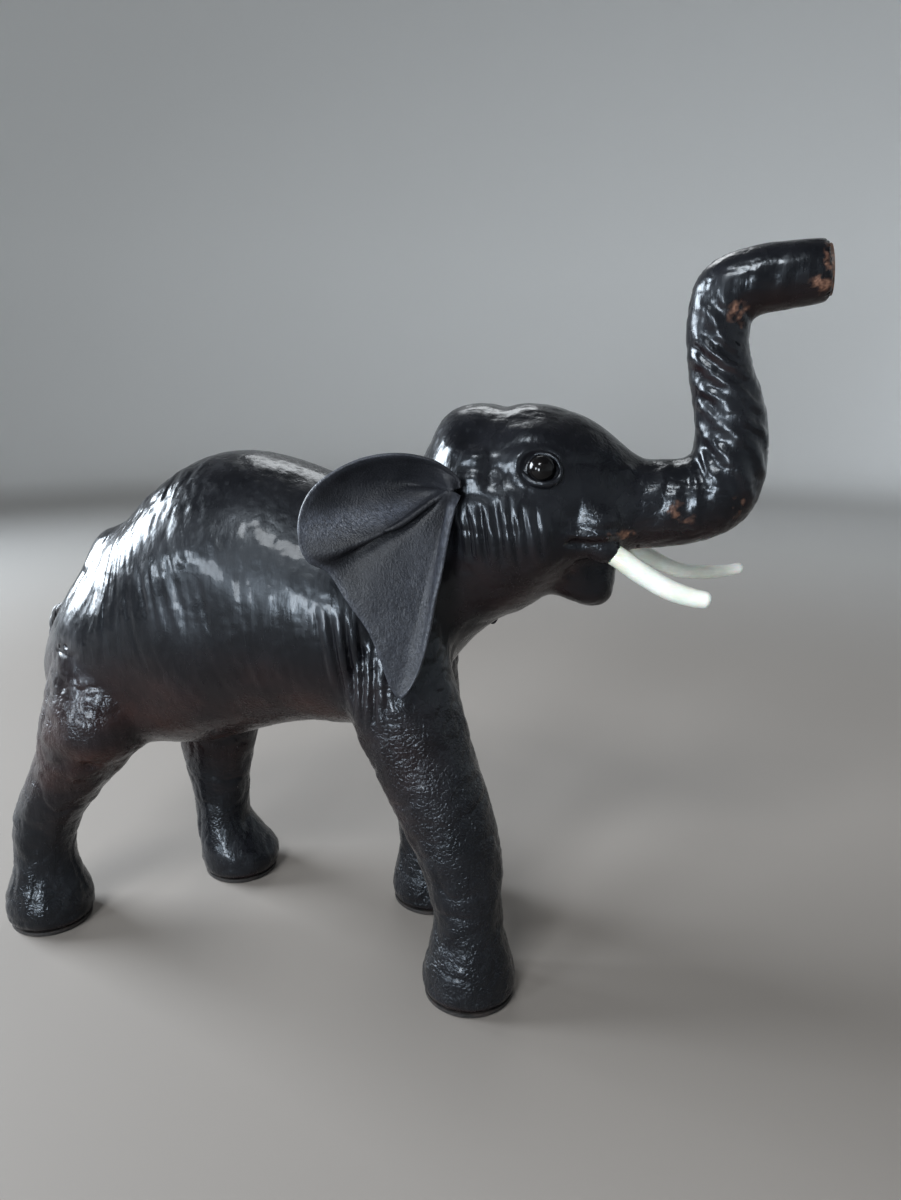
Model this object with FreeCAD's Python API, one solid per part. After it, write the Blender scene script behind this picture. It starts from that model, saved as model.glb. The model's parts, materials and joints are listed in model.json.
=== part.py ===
"""Leather-covered elephant figurine with its trunk raised, in a walking stance.

A carved wooden core is pegged together from blocks (torso, head, trunk and four legs) and dressed in
thin glued leather. Soles, ears, eyelids and tail are separate leather pieces, the eyes are glass beads
on wire shanks and the tusks are cast resin.

Millimetres. +X runs towards the head, +Y to the elephant's left and +Z up. Everything is drawn about the
middle of the stance and moved at the end, so that the origin is the bottom centre of the whole figure.
"""
import FreeCAD, Part

import math
import os

from FreeCAD import Vector

# ---- driving dimensions -------------------------------------------------------------------------
LEATHER = 1.6            # skin on torso, head, legs and trunk
SOLE = 2.0               # thickness of the leather sole under each foot
SOLE_ROUNDING = 0.7

EYE = Vector(65.0, -25.0, 190.5)       # the right eye; every paired piece is drawn on the right
EYE_R = 4.5
EYE_BACK = 2.6                         # the bead is ground flat this far behind its centre
EYE_AXIS = Vector(0.08, -0.92, 0.38)   # the way the right eye looks: square to the skin there
EYELID_R = 5.2
EYELID_ROLL_R = 1.2
EYELID_RISE = 1.6                      # of the rolled lid over the middle of the bead
WIRE_R = 0.5
WIRE_LENGTH = 10.0

PEG_R = 4.0                            # glued dowels between the wooden blocks
NECK_PEG = 34.0
NECK_PEG_Y = 11.0
TRUNK_PEG = 24.0
LEG_PEG_TOP_Y = 15.0
LEG_PEG_TOP_Z = 127.0
LEG_PEG_FOOT_Z = 86.0

EAR_LEATHER = 1.9                      # the ears are cut from heavier hide, skived at the edges
EAR_EDGE = 0.7                         # 1 skives the hide evenly from its middle to its edge, 0 not at all
EAR_TACK = Vector(37.5, -31.5, 183.5)  # middle of the ear's leather where the tack holds it
EAR_OUT = Vector(0.26, -0.91, 0.32)     # square to the leather there
LEFT_EAR_SWING = 12.0                  # the left ear was set on further out and further forward
LEFT_EAR_TIP = 7.0
TACK_R = 0.7
TACK_LENGTH = 12.0
TACK_HEAD_R = 1.7
TACK_HEAD = 0.8
TACK_STANDOFF = 2.2                    # under the head, from the middle of the leather
TACK_HOLE_R = 1.3                      # slack, so that the ear can swing

NOSTRIL_R = 1.9
NOSTRIL_Y = 3.4

TAIL_CLEARANCE = 0.6                   # between the round root of the tail and its hole
TAIL_HOLE = 24.0                       # from inside the wood to beyond the skin
TUFT_LENGTH = 15.0
TUFT_R = 2.6

# ---- profiles -----------------------------------------------------------------------------------
# Sections from rump to trunk root: middle x and z, backward lean in degrees, half height, half width.
BODY = [
    (-133.0, 106.0, 0, 9.0, 9.0),
    (-129.5, 106.0, 0, 19.0, 20.0),
    (-120.5, 109.0, 0, 29.5, 29.0),
    (-109.0, 115.5, 0, 38.5, 35.0),
    (-97.0, 119.9, 0, 44.4, 38.5),
    (-81.0, 126.6, 0, 51.4, 41.0),
    (-63.0, 133.8, 0, 55.2, 42.5),
    (-45.0, 138.1, 0, 53.4, 42.5),
    (-25.0, 139.0, 0, 48.5, 41.5),
    (-6.0, 137.0, 2, 45.5, 40.0),
    (11.0, 140.5, 9, 39.5, 35.5),
    (26.5, 153.0, 18, 30.5, 29.0),
    (37.5, 168.0, 21, 34.4, 29.5),
    (51.0, 175.0, 15, 34.5, 30.5),
    (65.0, 178.5, 9, 30.5, 29.0),
    (77.0, 180.2, 2, 24.7, 24.0),
    (87.0, 178.8, -1, 18.1, 18.0),
    (95.0, 177.0, -2, 14.9, 15.0),
]
NECK = BODY[11]
# The trunk rises, doubles back a little and ends in a short level stretch.
TRUNK = [
    (95.0, 177.0, -2, 14.9, 15.0),
    (106.0, 178.2, 8, 14.2, 14.0),
    (118.0, 183.2, 45, 13.6, 13.2),
    (121.5, 198.0, 85, 11.5, 11.6),
    (119.3, 211.0, 98, 10.7, 10.7),
    (116.0, 222.0, 100, 9.7, 9.8),
    (114.8, 232.0, 88, 9.6, 9.5),
    (117.4, 242.6, 50, 10.8, 9.8),
    (127.6, 246.6, 14, 10.1, 9.7),
    (140.5, 248.1, 8, 9.5, 9.3),
    (145.6, 248.7, 6, 9.0, 8.9),
]
JAW = [
    (57.0, 162.0, 0, 13.5, 18.5),
    (66.0, 157.5, 0, 12.0, 15.5),
    (74.0, 154.8, 0, 12.0, 12.6),
    (80.5, 153.8, 0, 12.3, 10.6),
    (84.8, 154.2, 0, 11.6, 9.2),
    (87.2, 155.6, 0, 8.8, 6.8),
]
# Fleshy sheath from which the right tusk comes out: middle and radius.
SHEATH = [
    (66.0, -12.5, 173.5, 8.6),
    (74.0, -14.0, 170.6, 8.0),
    (81.0, -15.4, 167.2, 7.0),
    (86.5, -16.2, 164.0, 5.6),
    (89.0, -16.5, 162.4, 4.4),
]
# Legs: height, half length, half width, how far the section has moved from ankle (0) to hip (1), and
# how much of the toe offset it has.
FRONT_LEG = [
    (SOLE, 16.2, 15.6, 0.0, 1.0),
    (5.0, 17.0, 16.4, 0.0, 1.0),
    (10.0, 16.8, 16.3, 0.0, 1.0),
    (19.0, 14.6, 14.6, 0.0, 0.8),
    (29.0, 12.5, 12.6, 0.0, 0.2),
    (38.0, 12.9, 12.7, 0.03, 0.0),
    (48.0, 14.4, 13.6, 0.09, 0.0),
    (60.0, 16.2, 14.8, 0.2, 0.0),
    (73.0, 18.0, 15.8, 0.38, 0.0),
    (86.0, 19.1, 17.0, 0.58, 0.0),
    (98.0, 19.8, 17.6, 0.76, 0.0),
    (111.0, 20.4, 17.4, 0.9, 0.0),
    (124.0, 19.6, 15.4, 1.0, 0.0),
    (137.0, 16.6, 12.6, 1.0, 0.0),
    (148.0, 11.5, 9.0, 1.0, 0.0),
]
HIND_LEG = [
    (SOLE, 15.8, 15.0, 0.0, 1.0),
    (5.0, 17.2, 16.2, 0.0, 1.0),
    (10.0, 17.3, 16.4, 0.0, 1.0),
    (18.0, 14.7, 14.6, 0.0, 0.5),
    (27.0, 12.2, 12.4, 0.0, 0.1),
    (36.0, 12.2, 12.0, 0.02, 0.0),
    (46.0, 13.6, 12.6, 0.1, 0.0),
    (57.0, 15.8, 13.8, 0.27, 0.0),
    (67.0, 17.8, 15.2, 0.47, 0.0),
    (77.0, 20.0, 17.2, 0.66, 0.0),
    (88.0, 21.8, 18.6, 0.8, 0.0),
    (101.0, 22.6, 18.0, 0.92, 0.0),
    (114.0, 21.6, 16.2, 1.0, 0.0),
    (128.0, 16.8, 12.8, 1.0, 0.0),
    (139.0, 10.5, 8.5, 1.0, 0.0),
]
ANKLE_Y = 27.0
HIP_Y = 22.5
# Each leg: its profile, side (-1 right, 1 left), ankle x, hip x and how far the foot is ahead of the ankle.
LEGS = {
    "right_front": (FRONT_LEG, -1, 43.2, 16.0, 0.4),
    "left_front": (FRONT_LEG, 1, 12.5, 5.5, 2.0),
    "right_hind": (HIND_LEG, -1, -134.4, -98.5, -0.4),
    "left_hind": (HIND_LEG, 1, -84.0, -80.0, 7.6),
}
# Right ear, top to bottom: height, rear edge x, front edge x, then y at the rear edge, middle and front.
EAR = [
    (195.2, 16.5, 27.5, -38.5, -37.2, -36.2),
    (193.0, 9.0, 33.0, -41.5, -37.2, -33.8),
    (189.5, 2.5, 37.3, -45.2, -37.0, -31.9),
    (184.0, -2.4, 39.8, -49.0, -37.0, -31.0),
    (177.5, -5.0, 39.5, -51.2, -37.5, -33.0),
    (170.0, -4.6, 38.8, -52.6, -40.0, -36.5),
    (164.0, -0.8, 38.0, -52.6, -43.4, -38.5),
    (158.0, 3.8, 37.0, -49.6, -44.0, -40.0),
    (149.0, 9.4, 35.3, -47.2, -44.0, -41.5),
    (141.0, 15.8, 34.2, -46.0, -44.0, -42.5),
    (131.5, 19.4, 32.2, -45.5, -44.3, -43.5),
    (123.5, 21.8, 30.0, -45.2, -44.6, -44.2),
    (118.2, 23.6, 27.2, -45.2, -45.0, -44.8),
]
# Tusks, root to tip: x, y, z and radius. The left one is splayed and reaches further forward.
RIGHT_TUSK = [
    (73.0, -13.5, 171.0, 3.3),
    (81.0, -15.5, 166.8, 3.4),
    (89.0, -16.5, 162.4, 3.4),
    (97.0, -17.2, 157.4, 3.4),
    (105.0, -17.7, 153.2, 3.3),
    (112.5, -17.9, 151.0, 3.0),
    (118.6, -18.0, 150.3, 2.5),
]
LEFT_TUSK = [
    (73.0, 13.5, 171.0, 3.2),
    (81.0, 15.2, 167.0, 3.2),
    (90.0, 16.6, 161.3, 3.1),
    (99.0, 17.8, 155.6, 2.9),
    (108.0, 19.3, 151.6, 2.7),
    (116.0, 20.6, 150.9, 2.5),
    (123.0, 21.4, 151.4, 2.2),
    (130.4, 22.0, 153.0, 1.8),
]
# Tail cord: x, z and radius. Its straight root lies in a hole in the rump, on the axis it swings about.
TAIL = [
    (-116.0, 127.0, 2.2),
    (-123.0, 127.0, 2.2),
    (-130.5, 127.0, 2.2),
    (-136.4, 124.8, 2.2),
    (-139.4, 118.0, 2.1),
    (-140.2, 108.0, 1.9),
    (-139.8, 96.0, 1.7),
    (-139.2, 84.0, 1.6),
]
# Tuft: how far down its length, and how thick, as shares.
TUFT = [(0.0, 0.35), (0.3, 1.0), (0.7, 0.85), (1.0, 0.25)]
RING_POINTS = 12
EAR_RING_POINTS = 16
OVERRUN = 6.0            # how far a cutter passes the face that it cuts
FAR = 400.0              # beyond the whole figure


# ---- tools --------------------------------------------------------------------------------------
def closed_curve(points):
    """A smooth closed curve through points, evenly parametrised so that surfaces between curves stay fair."""
    curve = Part.BSplineCurve()
    steps = [k / len(points) for k in range(len(points) + 1)]
    curve.interpolate(Points=points, PeriodicFlag=True, Parameters=steps)
    return curve


def oval(middle, up, across):
    """A closed oval curve about a middle, from its two half axes."""
    turns = [2 * math.pi * k / RING_POINTS for k in range(RING_POINTS)]
    return closed_curve([middle + up * math.cos(t) + across * math.sin(t) for t in turns])


def ring(middle, lean, half_height, half_width):
    """An oval section across the XZ plane, whose up axis leans back by lean degrees."""
    a = math.radians(lean)
    up = Vector(-math.sin(a), 0, math.cos(a))
    return oval(middle, up * half_height, Vector(0, half_width, 0))


def solid_through(curves):
    """A solid with a smooth side through closed curves and with flat ends."""
    surface = Part.BSplineSurface()
    surface.buildFromNSections(curves)
    side = surface.toShape()
    ends = [Part.Face(Part.Wire([edge])) for edge in side.Edges if edge.isClosed()]
    shell = Part.makeShell([side] + ends)
    shell.sewShape()
    return Part.Solid(shell)


def spine_solid(stations, inset=0.0):
    """A solid through the stations of a profile, with its sides moved in by inset."""
    return solid_through([ring(Vector(x, 0, z), lean, high - inset, wide - inset)
                          for x, z, lean, high, wide in stations])


def moved_along(station, distance):
    """A station shifted along its own normal."""
    x, z, lean, high, wide = station
    a = math.radians(lean)
    return (x + distance * math.cos(a), z + distance * math.sin(a), lean, high, wide)


def ahead_of(station):
    """Everything ahead of a station's plane, as one large box."""
    x, z, lean = station[:3]
    block = Part.makeBox(FAR, 2 * FAR, 2 * FAR, Vector(0, -FAR, -FAR))
    block.rotate(Vector(0, 0, 0), Vector(0, 1, 0), -lean)
    block.translate(Vector(x, 0, z))
    return block


def above(z):
    """Everything above a height, as one large box."""
    return Part.makeBox(2 * FAR, 2 * FAR, FAR, Vector(-FAR, -FAR, z))


def rod(start, end, radius):
    """A round rod between two points."""
    line = end - start
    return Part.makeCylinder(radius, line.Length, start, line)


def round_solid(stations):
    """A solid through circles that stand across the line of their middles, from (middle, radius)."""
    curves = []
    last = len(stations) - 1
    for k, (middle, radius) in enumerate(stations):
        line = stations[min(k + 1, last)][0] - stations[max(k - 1, 0)][0]
        up = line.cross(Vector(0, 1, 0)).normalize()
        across = up.cross(line).normalize()
        curves.append(oval(middle, up * radius, across * radius))
    return solid_through(curves)


def mirrored(shape):
    """The same piece on the left side."""
    return shape.mirror(Vector(0, 0, 0), Vector(0, 1, 0))


def cut_by(shape, *cutters):
    """The shape less every cutter."""
    for cutter in cutters:
        shape = shape.cut(cutter)
    return shape


# ---- core and skin ------------------------------------------------------------------------------
def sheath(inset=0.0):
    """The fleshy sheath of the right tusk, with its sides and its mouth moved in by inset."""
    stations = [(Vector(x, y, z), radius - inset) for x, y, z, radius in SHEATH]
    mouth, radius = stations[-1]
    inward = (stations[-2][0] - mouth).normalize()
    stations[-1] = (mouth + inward * inset, radius)
    return round_solid(stations)


def body_outside():
    """Torso and head with the leather on, to the root of the trunk."""
    right = sheath()
    return spine_solid(BODY).fuse([spine_solid(JAW), right, mirrored(right)])


def body_inside():
    """The carved wood under that leather, running on past the root of the trunk."""
    end = BODY[-1]
    stations = [moved_along(BODY[0], LEATHER)] + BODY[1:] + [moved_along(end, OVERRUN)]
    jaw = JAW[:-1] + [moved_along(JAW[-1], -LEATHER / 2)]
    jaw = [moved_along(station, -LEATHER) for station in jaw]
    right = sheath(LEATHER)
    return spine_solid(stations, LEATHER).fuse([spine_solid(jaw, LEATHER), right, mirrored(right)])


def long_trunk(inset=0.0):
    """The trunk running on past both of its ends, the further the more it is inset."""
    extra = OVERRUN + inset
    stations = [moved_along(TRUNK[0], -extra)] + TRUNK + [moved_along(TRUNK[-1], extra)]
    return spine_solid(stations, inset)


def leg_middle(name, station):
    """Where the middle of one leg section lies."""
    _, side, ankle_x, hip_x, toe = LEGS[name]
    z, _, _, climb, toe_share = station
    x = ankle_x + (hip_x - ankle_x) * climb + toe * toe_share
    return Vector(x, side * (ANKLE_Y + (HIP_Y - ANKLE_Y) * climb), z)


def leg_solid(name, inset=0.0, overrun=0.0):
    """One leg, with its sides and its top moved in by inset and its foot carried down by overrun."""
    profile = LEGS[name][0]
    curves = []
    for station in profile:
        middle = leg_middle(name, station)
        if station is profile[0] and overrun:
            low = middle - Vector(0, 0, overrun)
            curves.append(ring(low, 90, station[1] - inset, station[2] - inset))
        if station is profile[-1]:
            middle.z -= inset
        curves.append(ring(middle, 90, station[1] - inset, station[2] - inset))
    return solid_through(curves)


def leg_peg(name):
    """The dowel that joins a leg to the torso."""
    profile, side = LEGS[name][:2]
    low = next(station for station in profile if station[0] >= LEG_PEG_FOOT_Z)
    high = leg_middle(name, profile[-1])
    top = Vector(high.x, side * LEG_PEG_TOP_Y, LEG_PEG_TOP_Z)
    return rod(leg_middle(name, low), top, PEG_R)


def sole(name):
    """The leather sole under one foot, its lower edge rounded off."""
    station = LEGS[name][0][0]
    middle = leg_middle(name, station)
    steps = ((0.0, SOLE_ROUNDING), (SOLE_ROUNDING, 0.0), (SOLE, 0.0))
    curves = [ring(Vector(middle.x, middle.y, z), 90, station[1] - inset, station[2] - inset)
              for z, inset in steps]
    wires = [Part.Wire([curve.toShape()]) for curve in curves]
    return Part.makeLoft(wires, True, True)


def neck_pegs():
    """Two dowels across the neck joint."""
    a = math.radians(NECK[2])
    direction = Vector(math.cos(a), 0, math.sin(a)) * (NECK_PEG / 2)
    pegs = []
    for side in (-1, 1):
        middle = Vector(NECK[0], side * NECK_PEG_Y, NECK[1])
        pegs.append(rod(middle - direction, middle + direction, PEG_R))
    return pegs


def trunk_peg():
    """The dowel between head and trunk."""
    x, z = TRUNK[0][:2]
    half = TRUNK_PEG / 2
    return rod(Vector(x - half, 0, z), Vector(x + half, 0, z), PEG_R)


def trunk_tip(inside):
    """The leather disc that closes the end of the trunk, with two nostrils."""
    end = TRUNK[-1]
    disc = inside.common(ahead_of(moved_along(end, -LEATHER))).cut(ahead_of(end))
    back = moved_along(end, -OVERRUN)
    front = moved_along(end, OVERRUN)
    for side in (-1, 1):
        y = side * NOSTRIL_Y
        disc = disc.cut(rod(Vector(back[0], y, back[1]), Vector(front[0], y, front[1]), NOSTRIL_R))
    return disc


# ---- face, ears and tail ------------------------------------------------------------------------
def eye():
    """A glass bead, flat at the back."""
    bead = Part.makeSphere(EYE_R, EYE)
    behind = Part.makeCylinder(2 * EYE_R, 2 * EYE_R, EYE - EYE_AXIS * EYE_BACK, EYE_AXIS * -1)
    return bead.cut(behind)


def eye_wire():
    """The wire shank that is driven into the wood behind the bead."""
    back = EYE - EYE_AXIS * EYE_BACK
    return rod(back, back - EYE_AXIS * WIRE_LENGTH, WIRE_R)


def eyelid(head):
    """A rolled strip of leather round the eye, standing on the skin."""
    roll = Part.makeTorus(EYELID_R, EYELID_ROLL_R, EYE + EYE_AXIS * EYELID_RISE, EYE_AXIS)
    return cut_by(roll, head, Part.makeSphere(EYE_R, EYE))


def tusk(stations):
    """A curved tapering tusk with a blunt tip."""
    return round_solid([(Vector(x, y, z), radius) for x, y, z, radius in stations])


def ear_ring(z, rear_x, front_x, rear_y, middle_y, front_y):
    """One level section of the ear: a thin curved strip, skived to both edges."""
    middle_x = (front_x + rear_x) / 2
    half_length = (front_x - rear_x) / 2
    tilt = (front_y - rear_y) / 2
    bow = (front_y + rear_y) / 2 - middle_y
    points = []
    for k in range(EAR_RING_POINTS):
        turn = 2 * math.pi * k / EAR_RING_POINTS
        along = math.cos(turn)
        height = math.copysign(abs(math.sin(turn)) ** EAR_EDGE, math.sin(turn)) * EAR_LEATHER / 2
        y = middle_y + tilt * along + bow * along * along + height
        points.append(Vector(middle_x + half_length * along, y, z))
    return closed_curve(points)


def ear():
    """The right ear: a shallow bowl above, a hanging flap below and a slack tack hole at its root."""
    leather = solid_through([ear_ring(*station) for station in EAR])
    return leather.cut(rod(EAR_TACK - EAR_OUT * OVERRUN, EAR_TACK + EAR_OUT * OVERRUN, TACK_HOLE_R))


def ear_tack():
    """The tack at the ear's root, with its flat head outside the leather."""
    under = EAR_TACK + EAR_OUT * TACK_STANDOFF
    shank = rod(under, under - EAR_OUT * TACK_LENGTH, TACK_R)
    head = rod(under + EAR_OUT * TACK_HEAD, under, TACK_HEAD_R)
    return shank.fuse(head)


def on_left(shape):
    """The left ear's version of a piece, swung forward about its own tack."""
    left = mirrored(shape)
    root = Vector(EAR_TACK.x, -EAR_TACK.y, EAR_TACK.z)
    left.rotate(root, Vector(0, 0, 1), -LEFT_EAR_SWING)
    left.rotate(root, Vector(0, 1, 0), -LEFT_EAR_TIP)
    return left


def tail():
    """The tail cord, hanging close behind the rump."""
    return round_solid([(Vector(x, 0, z), radius) for x, z, radius in TAIL])


def tail_hole():
    """The hole in the rump that takes the root of the tail."""
    x, z, radius = TAIL[0]
    depth = Vector(x + TAIL_CLEARANCE, 0, z)
    return rod(depth, depth - Vector(TAIL_HOLE, 0, 0), radius + TAIL_CLEARANCE)


def tail_tuft():
    """The tuft: a spindle of leather fringe bound to the end of the cord."""
    x, z, radius = TAIL[-1]
    return round_solid([(Vector(x, 0, z - share * TUFT_LENGTH), TUFT_R * size) for share, size in TUFT])


# ---- assembly -----------------------------------------------------------------------------------
def make_parts():
    outside = body_outside()
    inside = body_inside()
    trunk_in = long_trunk(LEATHER)
    ahead_of_neck = ahead_of(NECK)
    ahead_of_trunk_root = ahead_of(BODY[-1])
    leg_cores = {name: leg_solid(name, LEATHER, OVERRUN).common(above(SOLE)) for name in LEGS}
    leg_pegs = {name: leg_peg(name) for name in LEGS}
    necks = neck_pegs()
    nose_peg = trunk_peg()
    beads = [eye(), mirrored(eye())]
    wires = [eye_wire(), mirrored(eye_wire())]
    tusks = [tusk(RIGHT_TUSK), tusk(LEFT_TUSK)]
    tacks = [ear_tack(), on_left(ear_tack())]
    face_pieces = beads + wires + tusks + tacks
    parts = {}

    socket = tail_hole()
    parts["torso_core"] = cut_by(inside, ahead_of_neck, socket, *necks, *leg_pegs.values())
    head_block = inside.common(ahead_of_neck).cut(ahead_of_trunk_root)
    parts["head_core"] = cut_by(head_block, nose_peg, *necks, *face_pieces)
    trunk_end = ahead_of(moved_along(TRUNK[-1], -LEATHER))
    parts["trunk_core"] = cut_by(trunk_in.common(ahead_of_trunk_root), trunk_end, nose_peg)

    shell = cut_by(outside, inside, *leg_cores.values())
    parts["torso_leather"] = cut_by(shell, ahead_of_neck, socket)
    parts["head_leather"] = cut_by(shell.common(ahead_of_neck), *face_pieces)
    tube = long_trunk().cut(trunk_in)
    parts["trunk_leather"] = tube.common(ahead_of_trunk_root).cut(ahead_of(TRUNK[-1]))
    parts["trunk_tip"] = trunk_tip(trunk_in)

    for name, core in leg_cores.items():
        parts[name + "_leg_core"] = cut_by(core, inside, leg_pegs[name])
        parts[name + "_leg_leather"] = cut_by(leg_solid(name), core, outside)
        parts[name + "_sole"] = sole(name)

    parts["leg_pegs"] = Part.makeCompound(list(leg_pegs.values()))
    parts["neck_pegs"] = Part.makeCompound(necks)
    parts["trunk_peg"] = nose_peg

    parts["right_eye"], parts["left_eye"] = beads
    parts["eye_wires"] = Part.makeCompound(wires)
    parts["right_eyelid"] = eyelid(outside)
    parts["left_eyelid"] = mirrored(parts["right_eyelid"])
    parts["right_tusk"], parts["left_tusk"] = tusks
    parts["right_ear"] = ear()
    parts["left_ear"] = on_left(parts["right_ear"])
    parts["ear_tacks"] = Part.makeCompound(tacks)
    parts["tail"] = tail()
    parts["tail_tuft"] = tail_tuft()
    return parts


def main():
    parts = make_parts()
    os.makedirs("parts", exist_ok=True)
    box = Part.makeCompound(list(parts.values())).optimalBoundingBox(True, False)
    to_origin = Vector(-box.Center.x, -box.Center.y, -box.ZMin)
    for name, shape in parts.items():
        shape.translated(to_origin).exportStep(os.path.join("parts", name + ".step"))


main()
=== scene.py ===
"""Looks of the leather-covered elephant figurine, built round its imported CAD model.

The black hide is one surface: the CAD solids are merged, softened where they meet, sculpted with the
swellings, folds and wrinkles of glued leather, and cut again into the pieces of the CAD. Ears, eyes,
lids, tusks and tail are meshes of their own.

Shapes are drawn in millimetres in the figure's drawing frame (+X to the head, +Y to its left, +Z up from
the table, Y 0 in the middle of the figure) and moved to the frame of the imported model, in metres.
"""

import json
import math

import bpy
import numpy as np
from mathutils import Matrix, Vector
from mathutils.bvhtree import BVHTree
from mathutils.kdtree import KDTree


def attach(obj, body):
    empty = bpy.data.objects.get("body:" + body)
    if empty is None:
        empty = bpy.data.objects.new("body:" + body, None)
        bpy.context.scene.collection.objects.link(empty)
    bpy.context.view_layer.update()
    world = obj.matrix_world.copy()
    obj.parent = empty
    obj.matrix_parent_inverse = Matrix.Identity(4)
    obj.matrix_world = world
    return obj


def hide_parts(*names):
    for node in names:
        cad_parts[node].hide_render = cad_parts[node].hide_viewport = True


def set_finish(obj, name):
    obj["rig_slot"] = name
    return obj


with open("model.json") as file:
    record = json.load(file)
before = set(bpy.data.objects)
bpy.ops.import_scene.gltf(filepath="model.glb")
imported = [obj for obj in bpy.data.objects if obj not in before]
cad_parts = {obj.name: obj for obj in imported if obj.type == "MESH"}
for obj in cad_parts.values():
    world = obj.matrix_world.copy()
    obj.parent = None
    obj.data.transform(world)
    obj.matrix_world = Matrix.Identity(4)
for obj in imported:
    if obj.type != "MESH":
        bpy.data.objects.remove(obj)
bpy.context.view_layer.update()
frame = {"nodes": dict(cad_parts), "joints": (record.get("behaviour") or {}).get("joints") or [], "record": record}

MM = 0.001
EAR_ROOT = np.array([37.5, -31.5, 183.5])  # the right ear's tack in the drawing frame
SHIFT = next(np.array(joint["pos_m"]) - EAR_ROOT * MM
             for joint in frame["joints"] if joint["name"] == "right_ear_flex")
MIRROR = np.array([1, -1, 1])  # from the right side to the left

LEGS = ("right_front", "left_front", "right_hind", "left_hind")
SKIN_LAYERS = ("wear", "brown_and_reflection", "crackle", "dull")  # what skin_leather reads from its pieces
COARSE = 1.5  # grid on which the body's joints are softened
FINE = 0.72  # grid of the finished skin
SKIN_OVER_WOOD = 0.45  # the least that the hide keeps outside the carved core
WOOD_REACH = 4  # hide further than this from the core is left alone
HOLE_WALL = 0.3  # core faces this near an eye or a tusk belong to its hole


# ---- places and fields ----
def to_row(points):
    """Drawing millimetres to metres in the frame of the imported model."""
    return np.asarray(points, float) * MM + SHIFT


def to_drawing(points):
    """Those metres back to drawing millimetres."""
    return (points - SHIFT) / MM


def unit(vectors):
    """The vectors at length 1."""
    return vectors / np.linalg.norm(vectors, axis=-1, keepdims=True)


def ramp(value, low, high):
    """0 below low, 1 above high and smooth between; low may be the larger."""
    t = np.clip((value - low) / (high - low), 0, 1)
    return t * t * (3 - 2 * t)


def bell(distance):
    """1 at 0, falling smoothly to 0 about two away."""
    return np.exp(-distance ** 2)


def noise(points, size, seed=0):
    """A smooth random field from -1 to 1, with features of one size or one for each axis."""
    scaled = np.asarray(points) / size + 1000
    cell = np.floor(scaled).astype(np.int64)
    share = scaled - cell
    share = share * share * (3 - 2 * share)
    total = np.zeros(len(scaled))
    for corner in np.ndindex(2, 2, 2):
        key = (cell + corner) @ np.array([73856093, 19349663, 83492791]) + seed * 6542989
        key = (key ^ (key >> 13)) * 1274126177 & 0x7FFFFFFF
        key = (key ^ (key >> 15)) * 668265263 & 0x7FFFFFFF
        weight = np.prod(np.where(corner, share, 1 - share), axis=1)
        total += weight * (key / 0x3FFFFFFF - 1)
    return total


def creases(field):
    """Narrow valleys, down to -1, where a smooth field crosses zero."""
    return -bell(field / 0.16)


def on_right(points):
    """The points folded over to the right side."""
    folded = points.copy()
    folded[:, 1] = -np.abs(folded[:, 1])
    return folded


def blob(points, centre, radii):
    """1 at a centre, falling smoothly to 0 about two radii away."""
    return np.exp(-(((points - np.array(centre)) / radii) ** 2).sum(axis=1))


def blobs(points, table):
    """The sum of blobs, from a table of middles, radii and heights."""
    return sum(height * blob(points, middle, radii) for middle, radii, height in table)


def route_distance(points, route):
    """Distance to a bent line, and the share of its length at the nearest point."""
    route = np.asarray(route, float)
    starts = run_of(route)
    best = np.full(len(points), np.inf)
    share = np.zeros(len(points))
    for k, length in enumerate(np.diff(starts)):
        direction = (route[k + 1] - route[k]) / length
        offset = points - route[k]
        along = np.clip(offset @ direction, 0, length)
        distance = np.linalg.norm(offset - along[:, None] * direction, axis=1)
        nearer = distance < best
        best = np.where(nearer, distance, best)
        share = np.where(nearer, (starts[k] + along) / starts[-1], share)
    return best, share


def run_of(line):
    """How far along a line each of its points lies."""
    return np.concatenate([[0], np.cumsum(np.linalg.norm(np.diff(line, axis=0), axis=1))])


def inner(share, part):
    """1 along a line, falling to 0 over this part of its length at each end."""
    return ramp(share, 0, part) * ramp(share, 1, 1 - part)


def curve_through(points, count):
    """count points on a smooth open curve through the given ones (Catmull-Rom)."""
    points = np.asarray(points, float)
    padded = np.vstack([2 * points[0] - points[1], points, 2 * points[-1] - points[-2]])
    steps = np.linspace(0, len(points) - 1, count)
    index = np.minimum(steps.astype(int), len(points) - 2)
    t = (steps - index)[:, None]
    a, b, c, d = (padded[index + k] for k in range(4))
    return 0.5 * (2 * b + (c - a) * t + (2 * a - 5 * b + 4 * c - d) * t ** 2
                  + (3 * b - a - 3 * c + d) * t ** 3)


def smooth_values(values, count):
    """count numbers that run smoothly through the given ones."""
    return curve_through(np.array(values)[:, None], count)[:, 0]


def around(count):
    """count even steps of angle round a circle."""
    return 2 * math.pi * np.arange(count) / count


# ---- mesh helpers ----
def scene_object(name, data):
    """A new object in the scene."""
    thing = bpy.data.objects.new(name, data)
    bpy.context.scene.collection.objects.link(thing)
    return thing


def smooth_object(name, points, faces):
    """A smooth-shaded mesh object from drawing points."""
    mesh = bpy.data.meshes.new(name)
    mesh.from_pydata(to_row(points).tolist(), [], faces)
    mesh.polygons.foreach_set("use_smooth", [True] * len(mesh.polygons))
    return scene_object(name, mesh)


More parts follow.
